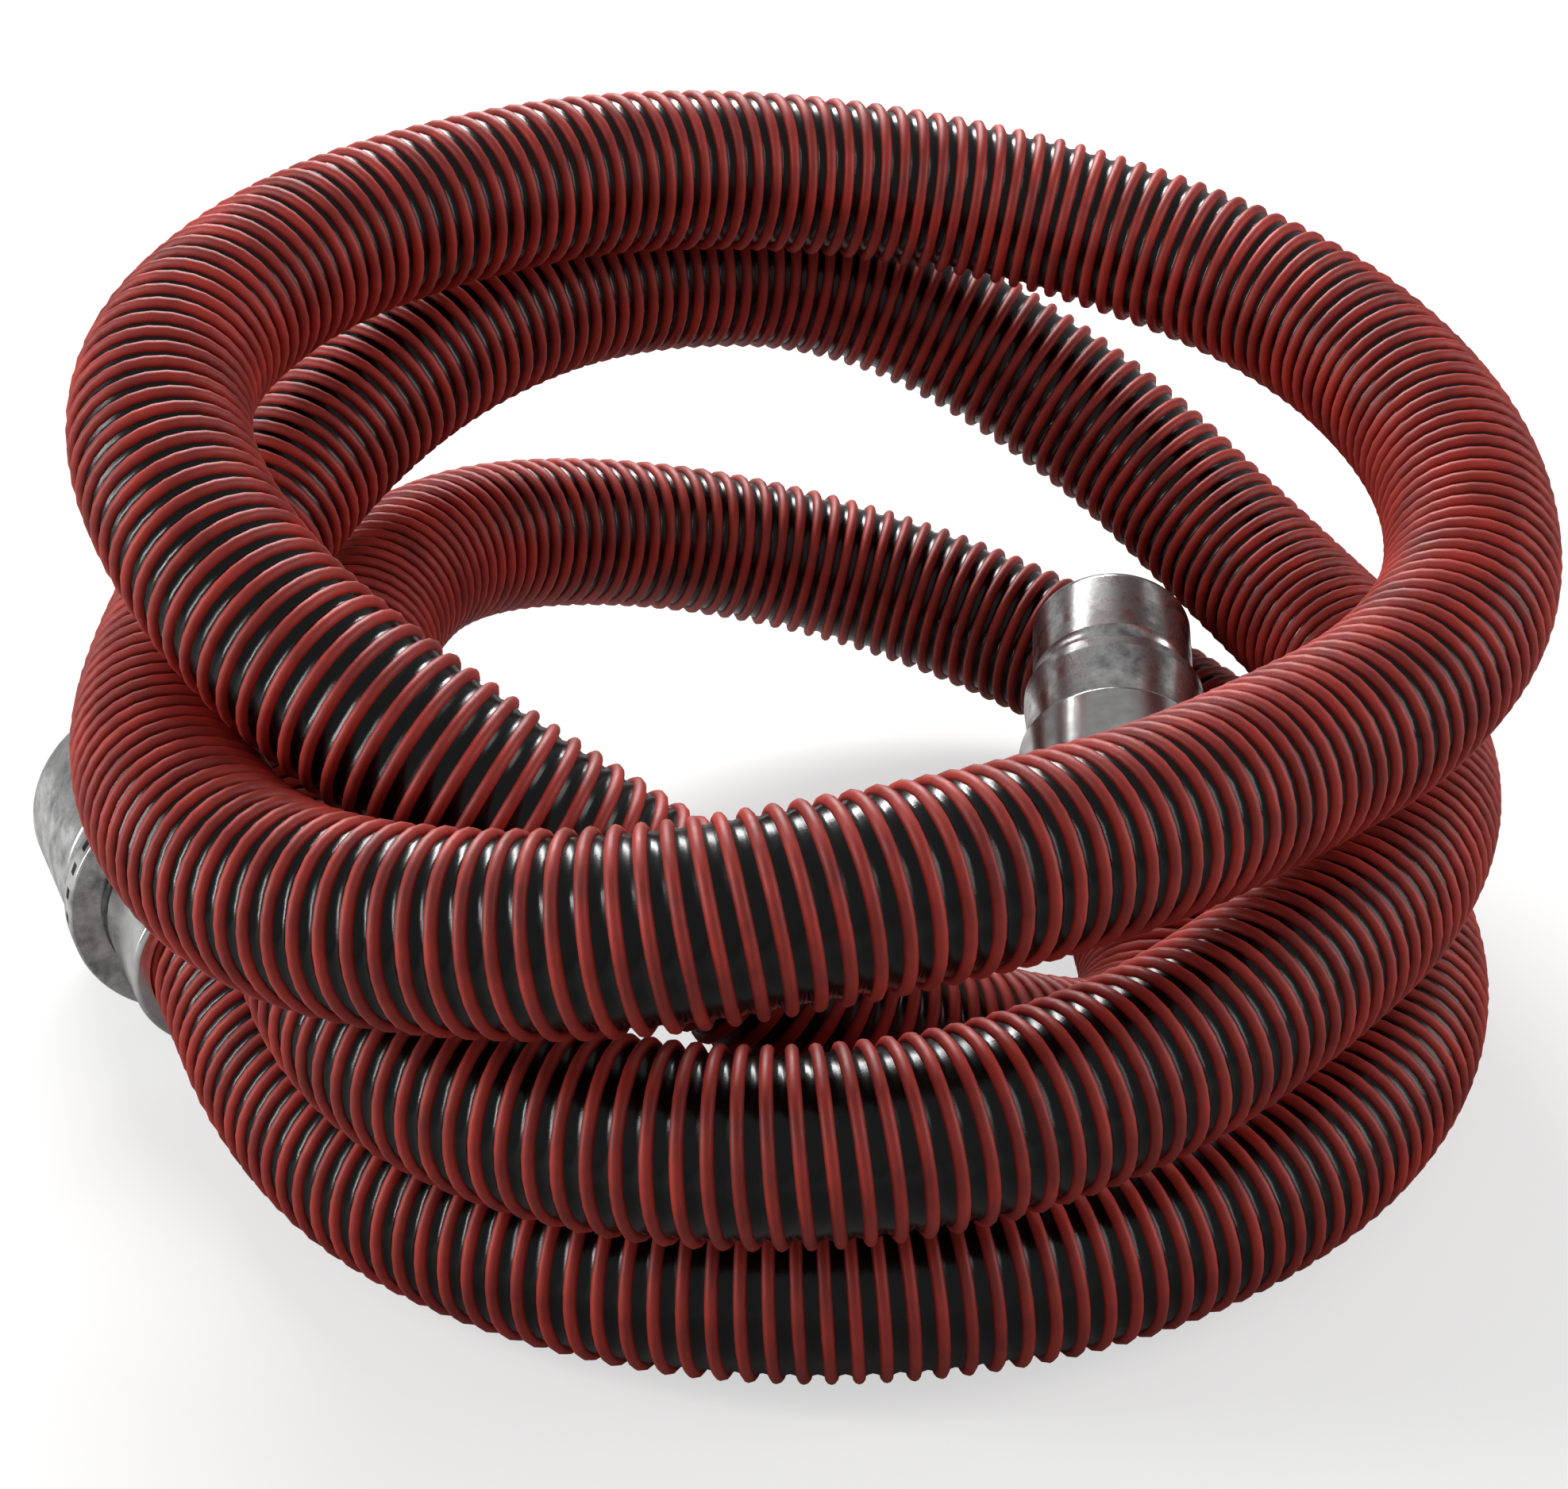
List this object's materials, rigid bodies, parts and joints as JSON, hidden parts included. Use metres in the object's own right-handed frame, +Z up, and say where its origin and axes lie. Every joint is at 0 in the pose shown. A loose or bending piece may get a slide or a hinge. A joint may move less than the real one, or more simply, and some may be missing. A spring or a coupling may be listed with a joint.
{
  "type": "suction hose",
  "caption": "Heavy suction and vacuum hose with an outer helical rib, lying in a loose coil, with a socket coupling on one end and a grooved spigot on the other.",
  "frame": {"origin": "middle of the footprint, on the floor that the coil lies on", "axes": "+Z up; the coil is seen from -Y, with the spigot at the right inside it and the socket coupling at the left outside it"},
  "size_m": [0.8194, 0.7846, 0.434],
  "materials": {
    "hose_rubber": "black rubber wall with a brick-red rib, satin",
    "cast_aluminium": "satin, lightly mottled",
    "ferrule_aluminium": "smooth, pressed",
    "spring_steel": "bright",
    "gasket_rubber": "matte black"
  },
  "bodies": {
    "hose": {"hose_bottom_turn": "hose_rubber", "hose_middle_turn": "hose_rubber", "hose_top_turn": "hose_rubber", "hose_inner_tail": "hose_rubber", "coupler_body": "cast_aluminium", "coupler_retainer": "spring_steel", "coupler_gasket": "gasket_rubber", "coupler_ferrule": "ferrule_aluminium", "adapter_body": "cast_aluminium", "adapter_ferrule": "ferrule_aluminium"},
    "collar": {"coupler_collar": "cast_aluminium"}
  },
  "joints": [
    {"name": "collar_turn", "type": "hinge", "parent": "hose", "child": "collar", "pos_m": [-0.30866, -0.01326, 0.07361], "axis": [-0.3999, 0.9159, 0.035], "continuous": true}
  ]
}
